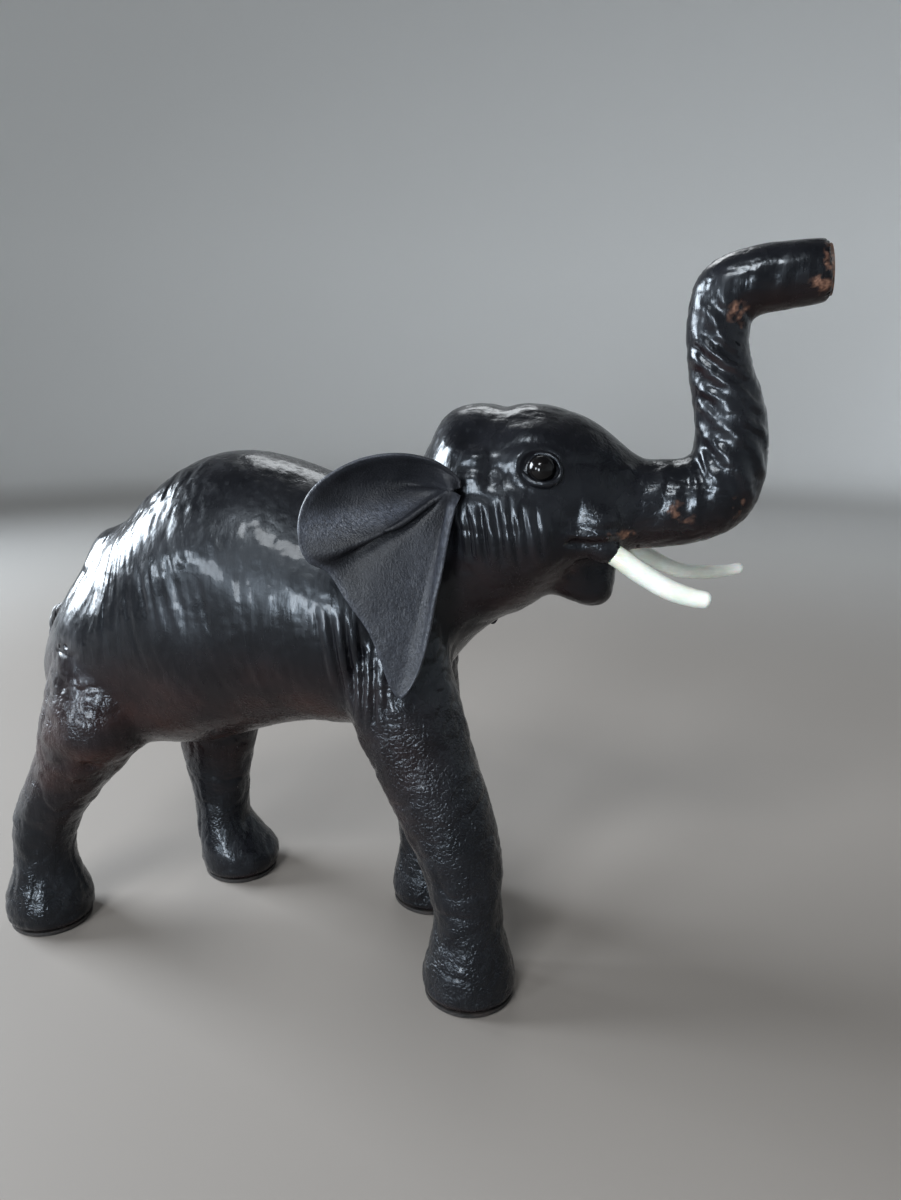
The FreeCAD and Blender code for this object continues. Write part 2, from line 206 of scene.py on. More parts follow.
def new_piece(name, points, faces, slot, replaced=None, layers=None, body="figure"):
    """A piece on a body; layers hold a number for each vertex, for its material to read."""
    piece = smooth_object(name, points, faces)
    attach(piece, body)
    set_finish(piece, slot)
    if replaced:
        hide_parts(replaced)
    if layers is None:
        layers = dict.fromkeys(SKIN_LAYERS if slot == "skin_leather" else (), np.zeros(len(points)))
    for layer, values in layers.items():
        attribute = piece.data.attributes.new(layer, "FLOAT", "POINT")
        attribute.data.foreach_set("value", np.asarray(values, np.float32))
    pieces.append(piece)
    return piece


def numbers_of(items, key, each, kind=float):
    """A property of all items as an array, with this many numbers each."""
    numbers = np.zeros(len(items) * each, kind)
    items.foreach_get(key, numbers)
    return numbers.reshape(-1, each)


def joined(forms):
    """The points and the faces of several forms as one."""
    points, faces = [], []
    start = 0
    for some_points, some_faces in forms:
        if isinstance(some_faces, np.ndarray):
            some_faces = some_faces.tolist()
        faces += [[start + k for k in face] for face in some_faces]
        points.append(some_points)
        start += len(some_points)
    return np.vstack(points), faces


def turned_over(faces):
    return [face[::-1] for face in faces]


def grid_faces(rows, columns, wrap=False, close=False):
    """Quads of a grid, row by row; wrap joins its last column to the first, close its rows."""
    faces = []
    for r in range(rows if close else rows - 1):
        q = (r + 1) % rows
        for c in range(columns if wrap else columns - 1):
            d = (c + 1) % columns
            faces.append((r * columns + c, r * columns + d, q * columns + d, q * columns + c))
    return faces


def tube_faces(rows, sides):
    """The side faces of a tube of rings, its first ring and its last."""
    faces = grid_faces(rows, sides, wrap=True)
    return faces, tuple(range(sides)), tuple(range((rows - 1) * sides, rows * sides))


def rings(centres, radii, first, second, sides):
    """A ring of points about each centre, from its radius and the directions of its half axes."""
    turns = around(sides)
    return np.vstack([centre + radius * (np.outer(np.cos(turns), u) + np.outer(np.sin(turns), v))
                      for centre, radius, u, v in zip(centres, radii, first, second)])


def tube(line, radii, sides, squash=1):
    """A round tube along a line, with a radius for each of its points."""
    tangents = unit(np.gradient(np.asarray(line, float), axis=0))
    up = unit(np.cross(tangents, [0, 1, 0]))
    faces, first, last = tube_faces(len(line), sides)
    faces += [first[::-1], last]
    return rings(line, radii, up, squash * np.cross(up, tangents), sides), faces


def ring_tube(centres, axis, radii, squash=1, sides=16):
    """A roll along a closed line; squash stretches it along the line's axis."""
    count = len(centres)
    outward = centres - centres.mean(axis=0)
    outward = unit(outward - (outward @ axis)[:, None] * axis)
    faces = [(a, d, c, b) for a, b, c, d in grid_faces(count, sides, wrap=True, close=True)]
    return rings(centres, radii, outward, [squash * axis] * count, sides), faces


def bead(centre, axis, radius, rows=14, sides=24):
    """A ball, as rings about an axis from pole to pole."""
    side = unit(np.cross(axis, [1, 0, 0]))
    polar = np.linspace(0.004, math.pi - 0.004, rows)
    centres = centre + radius * np.outer(np.cos(polar), axis)
    faces, first, last = tube_faces(rows, sides)
    faces += [first, last[::-1]]
    other = np.cross(axis, side)
    return rings(centres, radius * np.sin(polar), [side] * rows, [other] * rows, sides), faces


# ---- skin: one merged surface ----
# Middle line and radii of each tusk, from its root to its tip.
TUSK_ROUTES = {
    "right_tusk": (
        [(73, -13.5, 171), (81, -15.5, 166.8), (89, -16.5, 162.4), (97, -17.2, 157.4),
         (105, -17.7, 153.2), (112.5, -17.9, 151), (118.6, -18, 150.3)],
        (3.3, 3.4, 3.4, 3.4, 3.3, 3, 2.5)),
    "left_tusk": (
        [(73, 13.5, 171), (81, 15.2, 167), (90, 16.6, 161.3), (99, 17.8, 155.6), (108, 19.3, 151.6),
         (116, 20.6, 150.9), (123, 21.4, 151.4), (130.4, 22, 153)],
        (3.2, 3.2, 3.1, 2.9, 2.7, 2.5, 2.2, 1.8)),
}
TUSK_ROOT = 4  # how many points of a route lie at its root
# The right eye: its middle, the way it looks, forward and up across that, and its radius.
EYE = np.array([65, -25, 190.5])
EYE_OUT = unit(np.array([0.08, -0.92, 0.38]))
EYE_FORWARD = unit(np.cross([0, 0, 1], EYE_OUT))
EYE_UP = np.cross(EYE_OUT, EYE_FORWARD)
EYE_R = 4.5
FILLER_INSET = 0.5  # eyes and tusks fill their sockets a little undersize
FILLER_RINGS = 14


def cad_solids(kinds):
    """(piece name, points, triangles) of the CAD nodes of these kinds."""
    solids = []
    for part in ("torso", "head", "trunk", *(leg + "_leg" for leg in LEGS)):
        for kind in kinds:
            mesh = frame["nodes"][part + kind].data
            mesh.calc_loop_triangles()
            solids.append((part + "_skin", to_drawing(numbers_of(mesh.vertices, "co", 3)),
                           numbers_of(mesh.loop_triangles, "vertices", 3, int)))
    return solids


def fillers():
    """The roots of eyes and tusks, which the skin is drawn round."""
    solids = []
    for route, radii in TUSK_ROUTES.values():
        line = curve_through(route[:TUSK_ROOT], FILLER_RINGS)
        slim = np.full(FILLER_RINGS, min(radii[:TUSK_ROOT]) - FILLER_INSET)
        solids.append(("head_skin", *tube(line, slim, 16)))
    for flip in (1, MIRROR):
        solids.append(("head_skin", *bead(EYE * flip, EYE_OUT * flip, EYE_R - FILLER_INSET)))
    return solids


def merged_object(solids):
    """All solids as one object, in drawing millimetres."""
    points, faces = joined([solid[1:] for solid in solids])
    mesh = bpy.data.meshes.new("merged")
    mesh.from_pydata(points.tolist(), [], faces)
    return scene_object("merged", mesh)


def remeshed(solids, grid):
    """The outer surface of merged solids on a grid."""
    merged = merged_object(solids)
    modifier = merged.modifiers.new("Remesh", "REMESH")
    modifier.mode = "VOXEL"
    modifier.voxel_size = grid
    depsgraph = bpy.context.evaluated_depsgraph_get()
    mesh = bpy.data.meshes.new_from_object(merged.evaluated_get(depsgraph))
    quads = numbers_of(mesh.loops, "vertex_index", 1, int).reshape(-1, 4)
    surface = Surface(numbers_of(mesh.vertices, "co", 3), quads)
    bpy.data.meshes.remove(mesh)
    bpy.data.objects.remove(merged)
    return surface


def face_tree(solids):
    """A search tree of the faces of all solids."""
    merged = merged_object(solids)
    tree = BVHTree.FromObject(merged, bpy.context.evaluated_depsgraph_get())
    bpy.data.objects.remove(merged)
    return tree


def point_tree(points):
    """A search tree of points."""
    tree = KDTree(len(points))
    for k, point in enumerate(points):
        tree.insert(point, k)
    tree.balance()
    return tree


def nearest_names(solids, centres):
    """The piece names, and for each centre the number of its nearest solid's name."""
    names = sorted({name for name, _, _ in solids})
    labels = np.repeat([names.index(name) for name, _, _ in solids],
                       [len(faces) for _, _, faces in solids])
    tree = face_tree(solids)
    return names, labels[[tree.find_nearest(centre)[2] for centre in centres]]


class Surface:
    """Points and quads, with the averages and normals that sculpting needs."""

    def __init__(self, points, quads):
        self.points = points
        self.quads = quads
        pairs = np.vstack([quads[:, [k, (k + 1) % 4]] for k in range(4)])
        pairs.sort(axis=1)
        self.a, self.b = np.unique(pairs, axis=0).T
        self.valence = np.bincount(np.concatenate([self.a, self.b]))

    def gathered(self, owners, values):
        """For each vertex, the sum of the values that are its own."""
        count = len(self.points)
        return np.stack([np.bincount(owners, column, count) for column in values.T], axis=1)

    def average(self, values):
        """The mean of each vertex's neighbours."""
        columns = values.reshape(len(self.points), -1)
        sums = self.gathered(self.a, columns[self.b]) + self.gathered(self.b, columns[self.a])
        return (sums / self.valence[:, None]).reshape(values.shape)

    def normals(self):
        corners = self.points[self.quads]
        face = np.cross(corners[:, 2] - corners[:, 0], corners[:, 3] - corners[:, 1])
        sums = sum(self.gathered(self.quads[:, k], face) for k in range(4))
        return sums / np.maximum(np.linalg.norm(sums, axis=1), 1e-12)[:, None]

    def relax(self, rounds, weight=1):
        """Smooths the surface, by one weight or by one for each vertex."""
        share = 0.5 * np.broadcast_to(weight, len(self.points))[:, None]
        for _ in range(rounds):
            self.points += (self.average(self.points) - self.points) * share

    def lift(self, heights):
        """Moves every vertex along its normal."""
        self.points += self.normals() * heights[:, None]


def soften_joints(surface, sharpness, reach, rounds):
    """Rounds off the inner corners, sharper than this, where solids meet."""
    hollow = ((surface.average(surface.points) - surface.points) * surface.normals()).sum(axis=1)
    tree = point_tree(surface.points[hollow > sharpness])
    distance = np.array([tree.find(point)[2] for point in surface.points])
    surface.relax(rounds, bell(distance / reach))


def outer_wood():
    """The carved cores, less the walls of the holes for eyes and tusks."""
    solids = []
    for name, points, faces in cad_solids(["_core"]):
        middles = points[faces].mean(axis=1)
        in_hole = np.zeros(len(faces), bool)
        for route, radii in TUSK_ROUTES.values():
            distance = route_distance(middles, curve_through(route, 40))[0]
            in_hole |= distance < max(radii) + HOLE_WALL
        for flip in (1, MIRROR):
            in_hole |= np.linalg.norm(middles - EYE * flip, axis=1) < EYE_R + HOLE_WALL
        solids.append((name, points, faces[~in_hole]))
    return solids


def keep_over_wood(surface):
    """Lifts the skin wherever it comes too near the carved core."""
    tree = face_tree(outer_wood())
    for k, point in enumerate(surface.points):
        nearest, normal = tree.find_nearest(point)[:2]
        offset = Vector(point) - nearest
        if offset.dot(normal) < SKIN_OVER_WOOD and offset.length < WOOD_REACH:
            surface.points[k] = nearest + normal * SKIN_OVER_WOOD


# ---- skin: sculpting ----
# Swellings (+) and hollows (-), on both sides: middle, radii and height.
SWELLINGS = [
    ((-103, -17, 160), (8, 12, 8), 3.6),  # pin bone on the rump
    ((-115, -9, 147.5), (6, 10, 5), -1.8),  # notch under it
    ((-72, -38, 160), (22, 14, 17), 1.8),  # hip
    ((-49, -42, 146), (9, 9, 12), -1),  # dented flank
    ((-38, -42, 152), (6, 9, 9), 0.7),
    ((-98, -36, 91), (16, 14, 12), 3.8),  # haunch
    ((-76, -40, 108), (10, 10, 16), -1.2),  # flank before the haunch
    ((6, -38, 120), (12, 12, 20), 1.8),  # shoulder
    ((40, -9, 207), (8, 10, 7), 1.3),  # rear dome
    ((58, -7, 208), (8, 9, 6), 1.1),  # front dome
    ((49, -2, 209.5), (3.6, 14, 6), -0.7),
    ((62, -23, 201), (8, 7, 4), 2.2),  # brow
    ((58.5, -26, 195), (4.5, 6, 4.5), 0.6),  # facet above and behind the eye
    ((67.5, -28, 190), (8, 8, 7), -1.4),  # socket
    ((74.5, -25, 184.5), (4, 6, 8), -1.1),
    ((83.5, -19.5, 174.5), (6.5, 7, 5), 3.7),  # muscle over the mouth corner
    ((75.5, -23, 176.5), (3.6, 6, 5.5), -1.3),  # hollow behind it
    ((62, -29, 164), (14, 12, 13), 2.2),  # jowl
    ((44, -28, 194), (4.6, 6, 2.8), 1.9),  # temple lumps
    ((36.5, -26, 196.5), (3.6, 6, 3.4), 1.7),
    ((42, -27, 201), (6, 6, 1.6), -1.1),
    ((50.5, -29, 188.5), (3.2, 5, 4.5), -1.3),
    ((37, -26, 205), (4, 6, 3), -0.6),
    ((43, -29, 187.5), (5, 5, 2), 0.9),
    ((90.5, -12.5, 189.8), (2, 4, 1.7), 1.3),  # nub on the snout
    ((79, -12, 160), (5, 6, 3), -1.8),  # inside of the lower lip
]
# Raised (+) and pressed-in (-) folds: route, width and height.
FOLDS = [
    ([(54, -27, 189), (56.3, -26, 193.6), (60.3, -25, 197.4), (66.5, -23.5, 200.2),
      (72.5, -22, 198), (76, -21.5, 192)], 2.4, 1.6),  # brow
    ([(65, -26, 197.8), (68.5, -25, 197.2), (71.5, -24.5, 195), (73, -24, 191)], 1, -0.6),
    ([(71.5, -25, 171.2), (78, -22.5, 170.2), (85, -20.3, 169.8), (93, -17, 170.6)], 1.3, 1.7),
    ([(70, -24, 168.2), (77, -21.5, 167.2), (83.5, -19.5, 167), (90, -17.5, 167)], 1.1, -1.6),
    ([(70, -16, 165), (72, -15, 158), (76, -13, 152)], 1.8, -0.7),
    ([(79, -12, 159), (82, -10.5, 152), (83.5, -9.5, 147)], 1.4, -0.5),
    ([(-110, -20, 150), (-104, -27, 149), (-96, -33, 151)], 2.2, -1),
    ([(-114, -32, 86), (-106, -37, 79), (-95, -38.5, 76.5), (-84, -37, 81)], 2, -2),
]
# Welt of skin in which the rolled lid lies: half axes along the head and up, width and height.
LID_WELT = ((7.4, 6.3), 1.5, 0.9)
# Cheek wrinkles below the eye: top and bottom of each raised fold as x and z, and its height.
CHEEK_FOLDS = [
    ((40.5, 177), (43, 163), 0.7),
    ((44.3, 181), (46.8, 160), 1.5),
    ((48.8, 182), (51.9, 157), 1.8),
    ((53.3, 185), (57.6, 157), 1.6),
    ((57.5, 182), (61.6, 159), 1.3),
    ((61.2, 182), (65, 161), 1.2),
    ((65.5, 179), (69, 163), 0.8),
]
SHOULDER_FOLDS = [
    ((-4, 148), (0, 114), 1),
    ((1.5, 146), (4.5, 108), 1.7),
    ((6, 144), (8.5, 105), 1.8),
    ((11, 138), (12, 102), 1.4),
    ((16, 130), (16.5, 102), 0.8),
]
# Middle line of the trunk as x and z, from its root to its tip.
TRUNK_LINE = [(88, 178.5), (96, 177), (106, 178), (115, 181.5), (120, 189), (121.3, 198), (119.3, 211),
              (116, 222), (114.8, 232), (117.4, 241), (127.6, 246.4), (140.5, 248.1), (147, 249)]
# How far along the trunk each of its slanting folds lies.
TRUNK_FOLDS_AT = (0, 8, 17, 25, 34, 42, 50, 57, 65, 73, 80, 89, 98, 108)


def upright_folds(points, folds, width):
    """Near-upright folds with a valley on each side, from their ends and heights."""
    total = np.zeros(len(points))
    side_view = points[:, [0, 2]]
    outside = ramp(-points[:, 1], 10, 20)
    for top, bottom, height in folds:
        sway = (top[0] - bottom[0]) * 0.12
        middle = ((top[0] + bottom[0]) / 2 - sway, (top[1] + bottom[1]) / 2)
        distance, share = route_distance(side_view, [top, middle, bottom])
        broad = np.exp(-(distance / width) ** 4)
        beside = bell((distance - 1.35 * width) / (0.42 * width))
        total += height * inner(share, 0.3) * outside * (0.35 * broad - 0.4 * beside)
    return total


def trunk_place(points):
    """How far points lie along the trunk, and across it from its hollow to its bulging side."""
    line = curve_through(TRUNK_LINE, 120)
    tree = point_tree([(x, 0, z) for x, z in line])
    index = np.array([tree.find((x, 0, z))[1] for x, _, z in points])
    tangent = unit(np.gradient(line, axis=0))[index]
    offset = points[:, [0, 2]] - line[index]
    along = run_of(line)[index] + (offset * tangent).sum(axis=1)
    return along, offset[:, 0] * tangent[:, 1] - offset[:, 1] * tangent[:, 0]


def trunk_wrinkles(points):
    """Slanting wrinkles up the trunk, deepest on its upright stretch."""
    along, across = trunk_place(points)
    wander = 1.3 * noise(points, 9, 5) + 0.5 * noise(points, 4, 6)
    twist = np.interp(along, (8, 30, 42, 60, 78, 95), (0.25, 0.35, 0.7, 1.15, 0.9, 0.3))
    turns = np.interp(along, TRUNK_FOLDS_AT, range(len(TRUNK_FOLDS_AT)))
    slant = (twist * across + wander) * np.interp(along, (0, 40, 55, 90), (0.2, 0.17, 0.13, 0.15))
    wave = np.cos(2 * math.pi * (turns + slant))
    ridges = np.sign(wave) * np.abs(wave) ** 0.8
    depth = np.interp(along, (4, 14, 30, 44, 75, 88, 100), (0.08, 0.22, 0.42, 0.8, 0.8, 0.36, 0.14))
    depth *= 0.22 + 0.78 * ramp(np.abs(points[:, 1]), 2, 8.5)
    broken = 0.55 + 0.45 * noise(points, (7, 5, 7), 8)
    fine = np.interp(along, (0, 20, 90, 105), (0.1, 0.2, 0.2, 0.1))
    return ridges * depth * broken + fine * creases(noise(points, (4, 6, 2.6), 9))


def flank_creases(points):
    """Fine upright creases in the stretched hide of the flanks, fanning out over the rump."""
    x, z = points[:, 0], points[:, 2]
    lean = np.interp(x, (-125, -100, -75, -55, -20, 20), (0.9, 0.55, -0.15, -0.3, -0.08, 0.1))
    straight = points.copy()
    straight[:, 0] = x - lean * (z - 130)
    fine = noise(straight, (1.9, 3.5, 30), 11)
    coarse = noise(straight, (5, 9, 38), 12)
    soft = noise(points, 16, 13)
    rump = ramp(x, -30, -75) * ramp(z, 112, 138)
    dragged = coarse + creases(coarse) * (0.5 + 0.5 * soft)
    return (0.1 + 0.14 * rump) * fine + (0.08 + 0.28 * rump) * dragged + 0.5 * soft


def crumple(points, size, seed):
    """Hand-worked unevenness: soft lumps with a few pressed-in lines."""
    return 0.6 * noise(points, size, seed) + 0.5 * creases(noise(points, size * 1.3, seed + 1))


def sculpt(surface, part_of):
    """The forms of the hide that the solids lack; part_of weighs the pieces of a name."""
    right = on_right(surface.points)
    heights = blobs(right, SWELLINGS)
    for route, width, height in FOLDS:
        distance, share = route_distance(right, route)
        heights += height * bell(distance / width) * inner(share, 0.25)
    half_axes, width, height = LID_WELT
    ahead, above = (right - EYE) @ EYE_FORWARD, (right - EYE) @ EYE_UP
    beside = np.hypot(ahead / half_axes[0], above / half_axes[1])
    welt = bell((beside - 1) * half_axes[0] / width) * ramp(right[:, 1], -12, -18)
    surface.lift(heights + height * welt)

    points = surface.points
    right = on_right(points)
    head = part_of("head_skin")
    calm = 1 - 0.9 * blob(right, EYE, (7.5, 9, 7.5))
    heights = 0.75 * upright_folds(right, CHEEK_FOLDS, 1.6) * head
    heights += upright_folds(right, SHOULDER_FOLDS, 1.5)
    heights += part_of("trunk_skin") * trunk_wrinkles(points)
    flanks = ramp(np.abs(points[:, 1]), 2, 14)
    heights += part_of("torso_skin") * flank_creases(points) * flanks
    heights += head * calm * (0.42 * crumple(points, 8.5, 21) + 0.12 * crumple(points, 3.2, 23))
    heights += part_of("_leg_skin") * (0.7 * crumple(points, 8, 31) + 0.36 * crumple(points, 3.4, 33))
    heights += 0.07 * noise(points, 2, 41)
    surface.lift(heights * ramp(points[:, 2], 2.5, 6))


# Spots that are worn on both sides: middle, radii and strength.
WORN = [
    ((142, -8, 244), (5, 5, 4), 0.6),  # under the trunk's tip
    ((91.5, -16.5, 169.6), (3.4, 4, 1.8), 1),  # mouth
    ((84, -20, 170.6), (6, 5, 1), 0.5),
    ((119.5, -4, 236.5), (4.5, 7, 4.5), 1),  # upper bend of the trunk
    ((107, -12, 176.5), (5, 5, 5), 0.7),  # lower bend
    ((122, -7, 180), (8, 6, 7), 0.55),
]


def skin_maps(points, normals):
    """How strong each of SKIN_LAYERS is at each point, 0 to 1."""
    x, z = points[:, 0], points[:, 2]
    right = on_right(points)
    # Black worn through to brown: at the tip of the trunk and in the worn spots.
    wear = blob(points, (145, -2, 250.5), (4.5, 9, 5.5)) + blobs(right, WORN)
    wear *= 0.75 + 0.8 * (noise(points, 2.2, 51) + 0.7 * noise(points, 0.9, 52))
    # Dark red-brown on the low, downward-facing parts: partly the hide showing through thin dye, partly a painted
    # warm reflection of the floor beneath.
    belly = ramp(z, 132, 96) * ramp(x, 45, 0) * ramp(z, 50, 75)
    brown_and_reflection = 0.75 * belly + 0.6 * ramp(-normals[:, 2], 0, 0.8)
    brown_and_reflection *= 0.7 + 0.5 * noise(points, (14, 14, 10), 61)
    # Crazed polish: most on the front legs, less on the hind ones and the face.
    crackle = np.maximum(ramp(z, 124, 96) * np.where(x > -40, 1, 0.45),
                         0.35 * ramp(x, 68, 84) * ramp(x, 112, 98))
    crackle *= 0.75 + 0.4 * noise(points, 9, 65)
    # Polish handled dull: on the middle of the flanks, up to the ears.
    dull = blob(right, (-20, -36, 162), (30, 24, 18)) * (0.9 + 0.3 * noise(points, 12, 67))
    return np.clip([wear, brown_and_reflection, crackle, dull], 0, 1)


def skin_pieces():
    """The hide of torso, head, trunk and legs."""
    solids = cad_solids(["_leather", "_core"])
    body = remeshed(solids, COARSE)
    body.relax(2)
    soften_joints(body, sharpness=0.12, reach=9, rounds=50)
    surface = remeshed([("body", body.points, body.quads)] + fillers(), FINE)
    surface.relax(2)
    soften_joints(surface, sharpness=0.08, reach=2.2, rounds=20)
    quads = surface.quads
    names, face_names = nearest_names(solids, surface.points[quads].mean(axis=1))

    def part_of(ending):
        """For each vertex, 1 within the pieces of that name and soft over their edges."""
        wanted = [k for k, name in enumerate(names) if name.endswith(ending)]
        weight = np.zeros(len(surface.points))
        weight[quads[np.isin(face_names, wanted)].ravel()] = 1
        for _ in range(8):
            weight = surface.average(weight)
        return weight

    sculpt(surface, part_of)
    keep_over_wood(surface)
    surface.relax(1, 0.5)
    points, normals = surface.points, surface.normals()
    maps = skin_maps(points, normals)
    for k, name in enumerate(names):
        used, inverse = np.unique(quads[face_names == k], return_inverse=True)
        layers = {layer: values[used] for layer, values in zip(SKIN_LAYERS, maps)}
        piece = new_piece(name, points[used], inverse.reshape(-1, 4).tolist(), "skin_leather",
                          name.replace("_skin", "_leather"), layers)
        # Each piece is shaded as part of the whole surface, so that no seam shows.
        piece.data.normals_split_custom_set_from_vertices(normals[used].tolist())


# ---- ears ----
# From before the root, over it, round the back and up the front edge.
EAR_OUTLINE = [
    (40.6, -31.2, 184.6), (40.4, -31.4, 187.2), (37.8, -32.8, 190.2), (32.5, -34.5, 193.4),
    (24, -37.5, 195.2), (14, -40, 194.2), (5, -43.3, 190.4), (-2, -46.6, 184.6), (-5.5, -48.6, 177.5),
    (-5.3, -49.4, 170.4), (-2.4, -49.4, 164.2), (2.4, -48.3, 158.6), (8.8, -47, 149.6),
    (14.6, -46.3, 141.2), (18.4, -45.8, 132), (20.9, -45.4, 124), (23.9, -45, 119.2),
    (26.6, -45, 120.2), (30, -44.4, 126), (32.8, -43.6, 135), (35, -42, 148), (37.4, -40, 160),
    (39, -36.5, 172), (40.2, -33.2, 179.6), (40.9, -31.8, 182.4),
]
EAR_COLUMNS = 240
EAR_ROWS = 90
EAR_SHARES_OUT = np.linspace(0.02, 1, EAR_ROWS) ** 1.15  # of the rows, from root to edge
EAR_OUT = unit(np.array([0.3, -0.93, 0.2]))  # away from the head
EAR_HALF = 0.75  # half the thickness of the leather
LIP_AT = 0.385  # share of the outline where the bowl's lip meets the rear edge
LIP_DROP = 5
LIP_HEIGHT = 4.3
BOWL_DEPTH = 8.5
TACK_COVER = (4.3, 3.4)  # height and radius of the pinch of hide over the tack
LEFT_EAR_SWING, LEFT_EAR_TIP = math.radians(-12), math.radians(-7)


def ear_relief(share, out):
    """How far the ear stands out and is pulled up, by the shares round and out."""
    swell = ramp(out, 0, 0.4) * (1 - 0.45 * ramp(out, 0.75, 1))
    bowl = np.sin(math.pi * np.clip((share - 0.05) / (LIP_AT - 0.05), 0, 1)) ** 1.1
    height = -BOWL_DEPTH * bowl * np.sin(math.pi * out ** 0.9) ** 0.85
    height += ramp(share, LIP_AT, 0.1) * ramp(out, 0.86, 1)
    before_lip = bell((share - (LIP_AT - 0.03)) / 0.04)
    behind_lip = bell((share - (LIP_AT + 0.042)) / 0.03)
    height += swell * (LIP_HEIGHT * before_lip - 3 * behind_lip)
    pull = swell * (2.6 * behind_lip - LIP_DROP * before_lip)
    flap = ramp(share, LIP_AT + 0.08, 0.62)
    flap *= np.sin(math.pi * out) * np.sin(math.pi * np.clip((share - 0.45) / 0.55, 0, 1))
    pinch = bell(out / 0.26) * ramp(out, 0.05, 0.14) * ramp(share, 0.55, 0.35)
    height += 0.6 * flap + 1.2 * pinch * np.cos(2 * math.pi * share / 0.13)
    return height, pull


def ear_rub_and_sheen(share, out):
    """How far the ear is paled: partly rubbed black, partly painted highlight along lip and rim and painted sheen
    over the flap, strongest down the front edge.
    """
    lip = bell((share - (LIP_AT - 0.035)) / 0.022) * ramp(out, 0.1, 0.4)
    rim = 0.6 * ramp(out, 0.93, 0.99) * ramp(share, 0.1, 0.2)
    front = (0.42 + 0.5 * ramp(share, 0.7, 0.95)) * ramp(share, LIP_AT + 0.06, 0.6)
    return np.clip(np.maximum(np.maximum(lip, rim), front * ramp(out, 0.1, 0.45)), 0, 1)


def ear_surface():
    """The middle surface of the right ear, in rows from its root to its edge."""
    edge = curve_through(EAR_OUTLINE, EAR_COLUMNS)
    share = run_of(edge)
    share /= share[-1]
    cover, cover_radius = TACK_COVER
    rows = []
    for out in EAR_SHARES_OUT:
        row = EAR_ROOT + (edge - EAR_ROOT) * out
        height, pull = ear_relief(share, np.full(EAR_COLUMNS, out))
        height += cover * bell(np.linalg.norm(row - EAR_ROOT, axis=1) / cover_radius)
        row += EAR_OUT * height[:, None]
        row[:, 2] += pull
        wobble = 0.35 * noise(row, 9, 71) + 0.12 * noise(row, 3, 72)
        rows.append(row + EAR_OUT * wobble[:, None])
    return np.array(rows)


def ear_mesh():
    """Points and faces of the right ear as leather with thickness, thinned at its edge."""
    middle = ear_surface()
    normals = unit(np.cross(np.gradient(middle, axis=0), np.gradient(middle, axis=1)))
    thin = 1 - 0.45 * ramp(np.linspace(0, 1, EAR_ROWS), 0.9, 1)
    offset = normals * (EAR_HALF * thin)[:, None, None]
    points = np.vstack([(middle + offset).reshape(-1, 3), (middle - offset).reshape(-1, 3)])
    count = EAR_ROWS * EAR_COLUMNS
    faces = grid_faces(EAR_ROWS, EAR_COLUMNS)
    faces += [tuple(count + k for k in face[::-1]) for face in faces]
    grid = np.arange(count).reshape(EAR_ROWS, EAR_COLUMNS)
    border = np.concatenate([grid[0], grid[1:, -1], grid[-1, -2::-1], grid[-2:0:-1, 0]]).tolist()
    faces += [(here, count + here, count + there, there)
              for here, there in zip(border, border[1:] + border[:1])]
    return points, faces


def left_ear_place(points):
    """The right ear mirrored and swung forward about its own tack."""
    root = EAR_ROOT * MIRROR
    turn = Matrix.Rotation(LEFT_EAR_TIP, 3, "Y") @ Matrix.Rotation(LEFT_EAR_SWING, 3, "Z")
    return (points * MIRROR - root) @ np.array(turn).T + root


def ears():
    points, faces = ear_mesh()
    share, out = np.meshgrid(np.linspace(0, 1, EAR_COLUMNS), EAR_SHARES_OUT)
    # The ears' wear layer is partly rubbing, partly painted highlight and sheen.
    layers = {"wear": np.tile(ear_rub_and_sheen(share.ravel(), out.ravel()), 2)}
    for ear, place, some_faces in (("right_ear", points, faces),
                                   ("left_ear", left_ear_place(points), turned_over(faces))):
        new_piece(ear + "_hide", place, some_faces, "ear_leather", ear, layers, ear)


# ---- eyes, tusks and tail ----
EYE_DOME = 1.5  # how far the visible dome of the bead stands above its collar
LID_HALF_AXES = (6.1, 4.9)  # of the rolled lid, along the head and up
LID_RISE = 1.15
LID_TURN = math.radians(-14)
TIP_DOME = 0.75  # length of a tusk's rounded end, as a share of its radius
TUSK_RINGS = 110
TUSK_CHIPS = {"right_tusk": (0.6, -0.8, -2.2), "left_tusk": (0.8, -0.4, -1.4)}  # from the tip
# How brown each tusk's root is: dirt at both, and on the far left tusk mostly painted shade.
ROOT_STAIN_AND_SHADE = {"right_tusk": 0.35, "left_tusk": 0.9}
TAIL_LINE = [(-116, 0, 127), (-123, 0, 127), (-130.5, 0, 127), (-136.4, 0, 124.8),
             (-139.4, 0, 118), (-140.2, 0, 108), (-139.8, 0, 96), (-139.2, 0, 84)]
TAIL_RADII = (2.2, 2.2, 2.2, 2.2, 2.1, 1.9, 1.7, 1.6)
TAIL_RINGS = 150
TAIL_STRANDS = 3
TAIL_TWISTS = 3.6
COLLAR_AT = np.array([-128.6, 0, 127])  # on the sloping rump
COLLAR_R = 4.2
COLLAR_ROLL = 1.8
RUMP_SLOPE = 0.625  # forward for each unit up
TUFT_STRANDS = 22
TUFT_LENGTH = 14.6


def eye_bead():
    """The right eye's glass bead: a ball with a flatter collar behind its dome."""
    points, faces = bead(EYE, EYE_OUT, EYE_R, 36, 48)
    rise = (points - EYE) @ EYE_OUT
    offset = points - EYE - rise[:, None] * EYE_OUT
    return points - offset * (0.035 * bell((rise - EYE_DOME) / 0.5))[:, None], faces


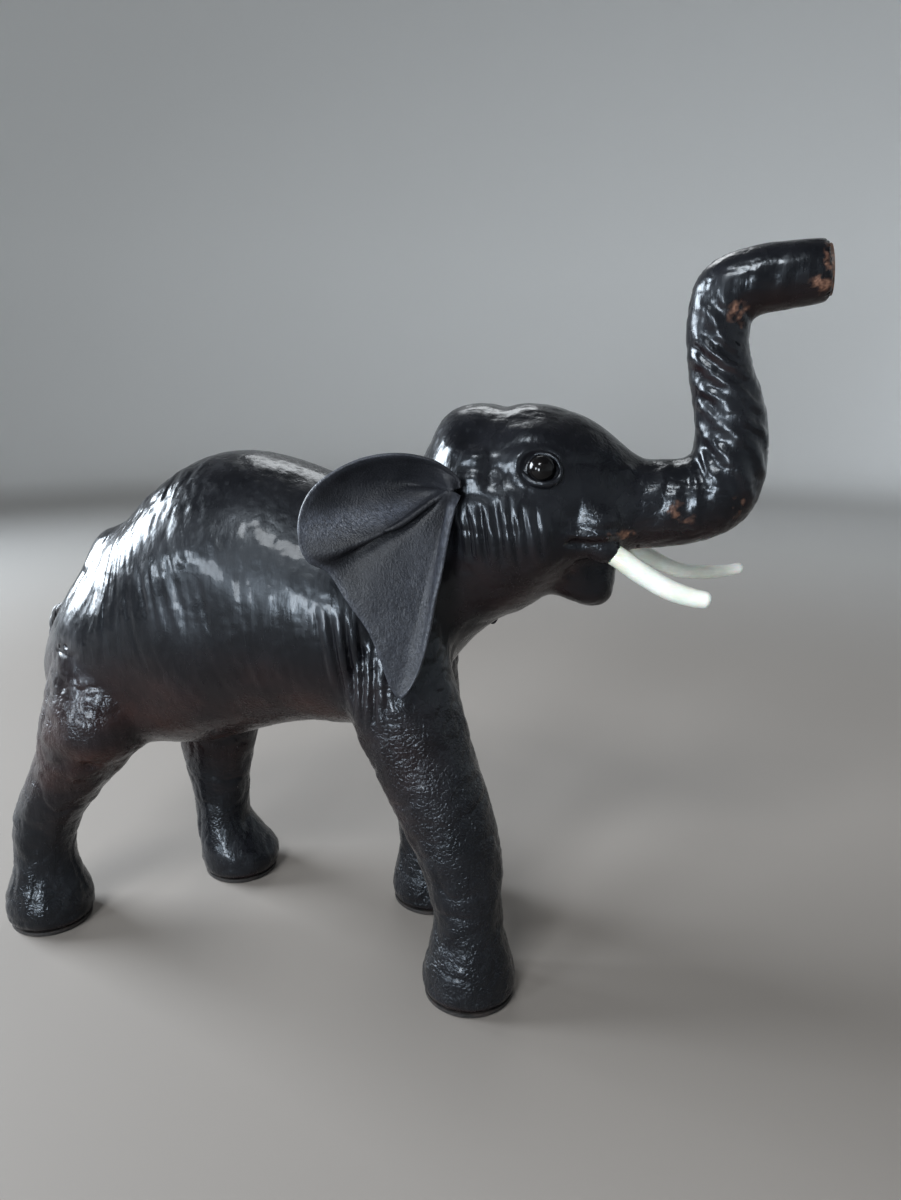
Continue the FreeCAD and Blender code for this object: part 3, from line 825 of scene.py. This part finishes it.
def eye_lid():
    """The rolled strip of hide round the right eye, thickest below and in front."""
    turns = around(96)
    flat = np.stack([np.cos(turns), np.sin(turns)], axis=1) * LID_HALF_AXES
    cos, sin = math.cos(LID_TURN), math.sin(LID_TURN)
    flat = flat @ np.array([[cos, sin], [-sin, cos]])
    thick = 0.86 + 0.26 * np.cos(turns + math.radians(50))
    thick += 0.16 * np.cos(2 * turns - math.pi) + 0.06 * np.sin(5 * turns)
    sunk = 0.8 * ramp(np.cos(turns - math.radians(135)), 0, 1)
    rise = LID_RISE + 0.5 - 0.05 * (flat ** 2).sum(axis=1) - sunk
    centres = EYE + flat @ np.stack([EYE_FORWARD, EYE_UP]) + rise[:, None] * EYE_OUT
    points, faces = ring_tube(centres, EYE_OUT, thick, 1.2)
    pressed = 0.14 * noise(points, 1.7, 91) + 0.1 * creases(noise(points, 1.3, 92))
    return points + pressed[:, None] * (points - EYE) / EYE_R, faces


def eyes():
    """Both eyes and both lids, with the left ones mirrored."""
    for node, slot, form in (("_eye", "eye_glass", eye_bead()), ("_eyelid", "skin_leather", eye_lid())):
        points, faces = form
        for side, flip, some_faces in (("right", 1, faces), ("left", MIRROR, turned_over(faces))):
            name = side + node
            new_piece(name + "_form", points * flip, some_faces, slot, name)


def tusks():
    """The cast tusks, slightly uneven, with blunt ends that are chipped at one side."""
    for name, (route, radii) in TUSK_ROUTES.items():
        chip = np.array(TUSK_CHIPS[name])
        line = curve_through(route, TUSK_RINGS)
        thickness = smooth_values(radii, TUSK_RINGS)
        left = np.linalg.norm(line - line[-1], axis=1) / (TIP_DOME * thickness[-1])
        rounding = np.sqrt(np.clip(1 - (1 - np.minimum(left, 1)) ** 2, 0.004, 1))
        points, faces = tube(line, thickness * rounding, 36, squash=0.94)
        dent = 0.9 * blob(points, line[-1] + chip, (1.3, 1.6, 1.1))
        points -= dent[:, None] * unit(chip)
        points += (0.06 * noise(points, 4, 81) + 0.03 * noise(points, 1.4, 82))[:, None]
        # Browner towards the root: dirt, with painted shade on the far tusk.
        layers = {"root": ramp(points[:, 0], 93, 88) * ROOT_STAIN_AND_SHADE[name]}
        new_piece(name + "_horn", points, faces, "tusk_resin", name, layers)


def tail_cord():
    """The tail: strands of rolled hide, twisted together."""
    line = curve_through(TAIL_LINE, TAIL_RINGS)
    radii = smooth_values(TAIL_RADII, TAIL_RINGS)
    side = np.array([0, 1, 0])
    up = np.cross(unit(np.gradient(line, axis=0)), side)
    strands = []
    for strand in range(TAIL_STRANDS):
        turn = 2 * math.pi * (strand / TAIL_STRANDS + np.linspace(0, TAIL_TWISTS, TAIL_RINGS))[:, None]
        offset = np.cos(turn) * up + np.sin(turn) * side
        strands.append(tube(line + offset * (0.46 * radii)[:, None], 0.53 * radii, 14))
    return joined(strands)


def tail_tuft():
    """The tuft: a binding and fine thongs that spread and close again."""
    x, _, z = TAIL_LINE[-1]
    strands = [tube([(x, 0, z - drop) for drop in (0.1, 0.6, 1.9, 2.4)], (1.3, 1.75, 1.75, 1.3), 24)]
    shares = np.linspace(0.06, 1, 18)
    for strand in range(TUFT_STRANDS):
        spread = 2.1 * math.sqrt((strand + 0.5) / TUFT_STRANDS)
        length = TUFT_LENGTH * (0.82 + 0.18 * math.sin(1.7 * strand) ** 2)
        bulge = np.sin(math.pi * np.clip(shares * 0.93, 0, 1)) ** 0.8 * spread
        sway = 2.4 * strand + 0.5 * shares
        line = np.stack([x + bulge * np.cos(sway), bulge * np.sin(sway), z - length * shares], axis=1)
        strands.append(tube(line, 0.42 * (1.1 - shares) ** 0.5 + 0.06, 8))
    return joined(strands)


def tail():
    """The twisted cord, its tuft and a collar of hide where it leaves the rump."""
    turns = around(60)
    line = np.stack([RUMP_SLOPE * np.sin(turns), np.cos(turns), np.sin(turns)], axis=1)
    axis = unit(np.array([-1, 0, RUMP_SLOPE]))
    points, faces = ring_tube(COLLAR_AT + COLLAR_R * line, axis, np.full(60, COLLAR_ROLL))
    points += 0.12 * noise(points, 1.6, 95)[:, None] * axis
    new_piece("tail_collar", points, faces, "skin_leather")
    new_piece("tail_cord", *tail_cord(), "tail_leather", "tail", body="tail")
    new_piece("tail_thongs", *tail_tuft(), "tail_leather", "tail_tuft", body="tail")


# ---- materials ----
class Nodes:
    """A material being built: each call adds a node and returns its output."""

    def __init__(self, name):
        self.material = bpy.data.materials.new(name)
        self.material.use_nodes = True
        self.tree = self.material.node_tree
        self.place = self.vector("MULTIPLY", self.add("TexCoord")["Object"], (1000, 1000, 1000))

    def put(self, socket, value):
        """Links or sets a socket; a colour may leave out its fourth number."""
        if isinstance(value, bpy.types.NodeSocket):
            self.tree.links.new(value, socket)
        elif value is not None:
            short = socket.type == "RGBA" and len(value) == 3
            socket.default_value = (*value, 1) if short else value

    def add(self, kind, inputs=(), **settings):
        """The outputs of a new node; its inputs are given in their order or by name."""
        node = self.tree.nodes.new("ShaderNode" + kind)
        for name, value in settings.items():
            setattr(node, name, value)
        for key, value in inputs.items() if isinstance(inputs, dict) else enumerate(inputs):
            self.put(node.inputs[key], value)
        return node.outputs

    def vector(self, operation, a, b):
        outputs = self.add("VectorMath", (a, b), operation=operation)
        return outputs["Value" if operation == "DOT_PRODUCT" else "Vector"]

    def math(self, operation, *values):
        return self.add("Math", values, operation=operation)[0]

    def texture(self, kind, scale, place=None, inputs=None, **settings):
        place = self.place if place is None else place
        return self.add("Tex" + kind, {"Vector": place, "Scale": scale, **(inputs or {})}, **settings)

    def noise(self, scale, detail=3, roughness=0.55, place=None, distortion=0):
        inputs = {"Detail": detail, "Roughness": roughness, "Distortion": distortion}
        return self.texture("Noise", scale, place, inputs)["Fac"]

    def cells(self, scale, feature="F1", place=None):
        return self.texture("Voronoi", scale, place, feature=feature)["Distance"]

    def stretched(self, factors):
        return self.vector("MULTIPLY", self.place, factors)

    def warped(self, scale, shift):
        """The place, pushed about by a noise."""
        push = self.vector("MULTIPLY", self.texture("Noise", scale)["Color"], (shift,) * 3)
        return self.vector("ADD", self.place, push)

    def span(self, value, low, high, start=0, end=1):
        """Maps low..high to start..end, clamped."""
        inputs = (value, low, high, start, end)
        return self.add("MapRange", inputs, interpolation_type="SMOOTHSTEP")["Result"]

    def mix(self, share, first, second):
        return self.add("Mix", {"Factor": share, "A": first, "B": second}, data_type="RGBA")["Result"]

    def layer(self, name):
        return self.add("Attribute", attribute_name=name)["Fac"]

    def bump(self, height, depth_mm, below=None):
        """A bump of the given depth for a height from 0 to 1."""
        inputs = {"Strength": 1, "Distance": depth_mm * MM, "Height": height, "Normal": below}
        return self.add("Bump", inputs)["Normal"]

    def finish(self, color, roughness, normal=None, **constants):
        """Wires up the shader; constants name its sockets with _ for each space."""
        inputs = {"Base Color": color, "Roughness": roughness, "Normal": normal}
        inputs.update((name.replace("_", " "), value) for name, value in constants.items())
        for name, value in inputs.items():
            self.put(self.tree.nodes["Principled BSDF"].inputs[name], value)
        return self.material


COOL = (0.84, 0.92, 1)  # blue cast of the windows and of what the polish mirrors


def skin_leather():
    """Thin black hide, shoe-polished: grain, dragged creases, crackle, dull and worn patches, and a painted warm
    floor reflection on its low parts.
    """
    n = Nodes("skin_leather")
    patches = n.noise(0.055, 4)
    streaks = n.noise(1, 2, 0.45, n.stretched((0.42, 0.42, 0.045)))
    hairs = n.noise(1, 1, 0.4, n.stretched((1.5, 1.5, 0.1)))
    lumps = n.noise(0.3, 2, 0.45, distortion=0.5)
    cracks = n.span(n.cells(0.62, "DISTANCE_TO_EDGE", n.warped(0.9, 0.9)), 0, 0.3)
    specks = n.noise(0.9, 3, 0.65)
    wear = n.span(n.layer("wear"), 0.25, 0.8)
    # Red-brown low down: partly the hide's own colour, partly a painted warm reflection of the floor.
    brown_and_reflection = n.math("MULTIPLY", n.layer("brown_and_reflection"), n.span(patches, 0.35, 0.65, 0.5, 1))
    color = n.mix(n.span(patches, 0.35, 0.7), (0.003, 0.0032, 0.0042), (0.006, 0.0062, 0.0078))
    color = n.mix(brown_and_reflection, color, (0.022, 0.0085, 0.0065))
    worn = n.mix(n.span(specks, 0.35, 0.65), (0.065, 0.028, 0.018), (0.18, 0.095, 0.062))
    color = n.mix(wear, color, worn)
    roughness = n.span(patches, 0.3, 0.7, 0.19, 0.3)
    for rougher in (n.span(streaks, 0.5, 0.75, 0, 0.12), n.math("MULTIPLY", wear, 0.3),
                    n.math("MULTIPLY", n.layer("dull"), 0.22)):
        roughness = n.math("ADD", roughness, rougher)
    normal = n.bump(n.cells(1.3), 0.012)
    for height, depth in ((hairs, 0.035), (streaks, 0.16), (lumps, 0.12),
                          (n.math("MULTIPLY", cracks, n.layer("crackle")), 0.2)):
        normal = n.bump(height, depth, normal)
    return n.finish(color, roughness, normal, Specular_IOR_Level=0.26, Specular_Tint=COOL,
                    Coat_Weight=0.12, Coat_Roughness=0.1)


def ear_leather():
    """Heavier satin hide with a fibre grain, paler and smoother at its edges and over its flap: partly rubbed,
    partly painted highlight and sheen.
    """
    n = Nodes("ear_leather")
    fibre = n.noise(1, 4, 0.6, n.stretched((1.3, 1.3, 0.5)))
    patches = n.noise(0.09, 4)
    specks = n.noise(0.8, 4, 0.7)
    # Paler and bluish where rubbed and where highlight and sheen are painted in.
    rub_and_sheen = n.math("MULTIPLY", n.layer("wear"), n.span(specks, 0.35, 0.65, 0.3, 1))
    color = n.mix(n.span(patches, 0.3, 0.7), (0.0055, 0.006, 0.008), (0.012, 0.0128, 0.016))
    color = n.mix(rub_and_sheen, color, (0.056, 0.061, 0.075))
    roughness = n.span(patches, 0.3, 0.7, 0.4, 0.54)
    roughness = n.math("SUBTRACT", roughness, n.math("MULTIPLY", rub_and_sheen, 0.14))
    normal = n.bump(fibre, 0.2, n.bump(n.cells(1.6), 0.09))
    return n.finish(color, roughness, normal, Specular_IOR_Level=0.26)


def plain_leather(name, dark, light, rough):
    """Sole, tip and tail leather: mottled, scuffed hide."""
    n = Nodes(name)
    patches = n.noise(0.35, 5, 0.65)
    color = n.mix(n.span(patches, 0.4, 0.65), dark, light)
    normal = n.bump(patches, 0.25, n.bump(n.cells(1.4), 0.07))
    return n.finish(color, n.span(patches, 0.3, 0.7, rough, rough + 0.2), normal)


def wood(name, dark, light):
    """Bare carved wood with growth rings along X."""
    n = Nodes(name)
    layers = n.noise(0.55, place=n.vector("ADD", n.stretched((0.08, 1, 1)), (3, 0, 0)))
    fibre = n.noise(1, place=n.stretched((0.12, 2.6, 2.6)))
    color = n.mix(n.span(layers, 0.35, 0.65), dark, light)
    return n.finish(color, n.span(fibre, 0.3, 0.7, 0.55, 0.75), n.bump(fibre, 0.12))


def steel(name, color, rough):
    n = Nodes(name)
    marks = n.noise(1.4)
    color = n.mix(n.span(marks, 0.3, 0.7), color, tuple(0.6 * c for c in color))
    return n.finish(color, n.span(marks, 0.3, 0.7, rough, rough + 0.15), n.bump(marks, 0.02), Metallic=1)


def tusk_resin():
    """Polished cast resin, faintly green, with dirt at the root and painted shade there on the far tusk."""
    n = Nodes("tusk_resin")
    clouds = n.noise(0.12)
    scuffs = n.noise(1, 4, place=n.stretched((0.25, 1.4, 1.4)))
    color = n.mix(n.span(clouds, 0.35, 0.65), (0.7, 0.71, 0.65), (0.62, 0.65, 0.57))
    color = n.mix(n.layer("root"), color, (0.5, 0.42, 0.25))
    return n.finish(color, n.span(scuffs, 0.4, 0.7, 0.22, 0.36), n.bump(scuffs, 0.05),
                    Subsurface_Weight=0.25, Subsurface_Scale=0.004, Coat_Weight=0.3, Coat_Roughness=0.1)


def eye_glass():
    n = Nodes("eye_glass")
    haze = n.noise(0.5, 2)
    color = n.mix(n.span(haze, 0.3, 0.7), (0.0014, 0.0013, 0.0016), (0.003, 0.0026, 0.0026))
    return n.finish(color, n.span(haze, 0.4, 0.7, 0.1, 0.16),
                    Specular_IOR_Level=0.22, Coat_Weight=0.1, Coat_Roughness=0.06)


# The other finishes, by slot.
PLAIN_FINISHES = {
    "sole_leather": (plain_leather, (0.004, 0.0035, 0.0035), (0.016, 0.011, 0.009), 0.5),
    "tip_leather": (plain_leather, (0.02, 0.013, 0.01), (0.13, 0.062, 0.036), 0.45),
    "tail_leather": (plain_leather, (0.01, 0.01, 0.012), (0.02, 0.017, 0.016), 0.35),
    "carved_wood": (wood, (0.42, 0.26, 0.14), (0.6, 0.42, 0.25)),
    "peg_wood": (wood, (0.55, 0.38, 0.22), (0.68, 0.52, 0.33)),
    "steel_wire": (steel, (0.45, 0.45, 0.46), 0.3),
    "tack_steel": (steel, (0.05, 0.05, 0.05), 0.4),
}


def dress(thing, material):
    thing.data.materials.clear()
    thing.data.materials.append(material)


def dress_all():
    """Every piece and every CAD node gets the finish of its slot."""
    finishes = {"skin_leather": skin_leather(), "ear_leather": ear_leather(),
                "tusk_resin": tusk_resin(), "eye_glass": eye_glass()}
    for name, (kind, *look) in PLAIN_FINISHES.items():
        finishes[name] = kind(name, *look)
    slots = {part["node"]: part["material_slot"] for part in frame["record"]["subparts"]}
    for node, thing in frame["nodes"].items():
        dress(thing, finishes[slots[node]])
    for piece in pieces:
        dress(piece, finishes[piece["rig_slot"]])


# ---- studio ----
LENS = 25.98
CAMERA_AT = (105, -291.3, 220)
CAMERA_TURN, CAMERA_PITCH = math.radians(14.5), math.radians(14.87)  # to the tail and down
WALL_FROM = 1700  # where the floor begins to bend up to the wall
WALL_BEND = 500
WALL_HEIGHT = 2400
WALL_SIDES = 96
FLOOR_RINGS, BEND_RINGS = 24, 16
FLOOR_COLOR = (0.165, 0.148, 0.132)
FAR_COLOR = (0.46, 0.45, 0.435)
WALL_COLOR = (0.93, 0.93, 0.92)
# Distances at which the floor starts to pale, has its far colour and has the wall's.
PALE_FROM, PALE_AT, WALL_AT = 350, 1250, 1750
LAMPS_AIM = (0, 0, 130)
LAMP_SPREAD = math.radians(95)
# Place, width and height, power and colour of each lamp.
LAMPS = {
    "window": ((-1350, 15, 620), (880, 740), 21, COOL),
    "second_window": ((-720, -1110, 400), (300, 300), 2.5, COOL),
    "door": ((-190, -1310, 220), (220, 360), 3, COOL),
    "front": ((-118, -963, 1207), (400, 320), 3.7, (0.93, 0.97, 1)),
    "behind": ((-300, 1000, 1150), (600, 500), 1.2, (0.95, 0.98, 1)),
}
SKY_COLOR = (0.8, 0.82, 0.85, 1)
SKY_STRENGTH = 0.14


def aim(thing, look):
    thing.rotation_euler = look.to_track_quat("-Z", "Y").to_euler()


def camera():
    """A phone's main camera, a little above the figure and to the right of its middle."""
    data = bpy.data.cameras.new("camera")
    data.lens = LENS
    data.clip_start = 0.01
    seen = scene_object("camera", data)
    seen.location = to_row(CAMERA_AT)
    ahead = math.cos(CAMERA_PITCH)
    aim(seen, Vector((-math.sin(CAMERA_TURN) * ahead, math.cos(CAMERA_TURN) * ahead,
                      -math.sin(CAMERA_PITCH))))
    bpy.context.scene.camera = seen


def lamps():
    """Soft rectangular lamps, aimed at the figure."""
    for name, (place, size, power, color) in LAMPS.items():
        data = bpy.data.lights.new(name, "AREA")
        data.shape = "RECTANGLE"
        data.size, data.size_y = (side * MM for side in size)
        data.energy = power
        data.color = color
        data.spread = LAMP_SPREAD
        light = scene_object(name, data)
        light.location = to_row(place)
        aim(light, Vector(to_row(LAMPS_AIM)) - light.location)
        light.visible_camera = False


def backdrop():
    """A round floor that pales with distance and rises smoothly to a pale wall."""
    profile = [(WALL_FROM * k / FLOOR_RINGS, 0) for k in range(1, FLOOR_RINGS + 1)]
    for k in range(1, BEND_RINGS + 1):
        turn = math.pi / 2 * k / BEND_RINGS
        profile.append((WALL_FROM + WALL_BEND * math.sin(turn), WALL_BEND - WALL_BEND * math.cos(turn)))
    profile.append((WALL_FROM + WALL_BEND, WALL_HEIGHT))
    points = [(r * math.cos(turn), r * math.sin(turn), z) for r, z in profile
              for turn in around(WALL_SIDES)]
    faces, middle, _ = tube_faces(len(profile), WALL_SIDES)
    floor = smooth_object("studio_floor", points, turned_over(faces) + [middle])
    n = Nodes("studio_floor")
    distance = n.math("SQRT", n.vector("DOT_PRODUCT", n.place, n.place))
    color = n.mix(n.noise(0.004, 2), FLOOR_COLOR, tuple(1.05 * c for c in FLOOR_COLOR))
    color = n.mix(n.span(distance, PALE_FROM, PALE_AT), color, FAR_COLOR)
    dress(floor, n.finish(n.mix(n.span(distance, PALE_AT, WALL_AT), color, WALL_COLOR), 0.8))


def sky():
    """A faint light from all round."""
    world = bpy.data.worlds.new("world")
    world.use_nodes = True
    background = world.node_tree.nodes["Background"].inputs
    background["Color"].default_value = SKY_COLOR
    background["Strength"].default_value = SKY_STRENGTH
    bpy.context.scene.world = world


pieces = []  # filled by new_piece
skin_pieces()
ears()
eyes()
tusks()
tail()
dress_all()
camera()
backdrop()
lamps()
sky()
bpy.context.scene.view_settings.view_transform = "Standard"
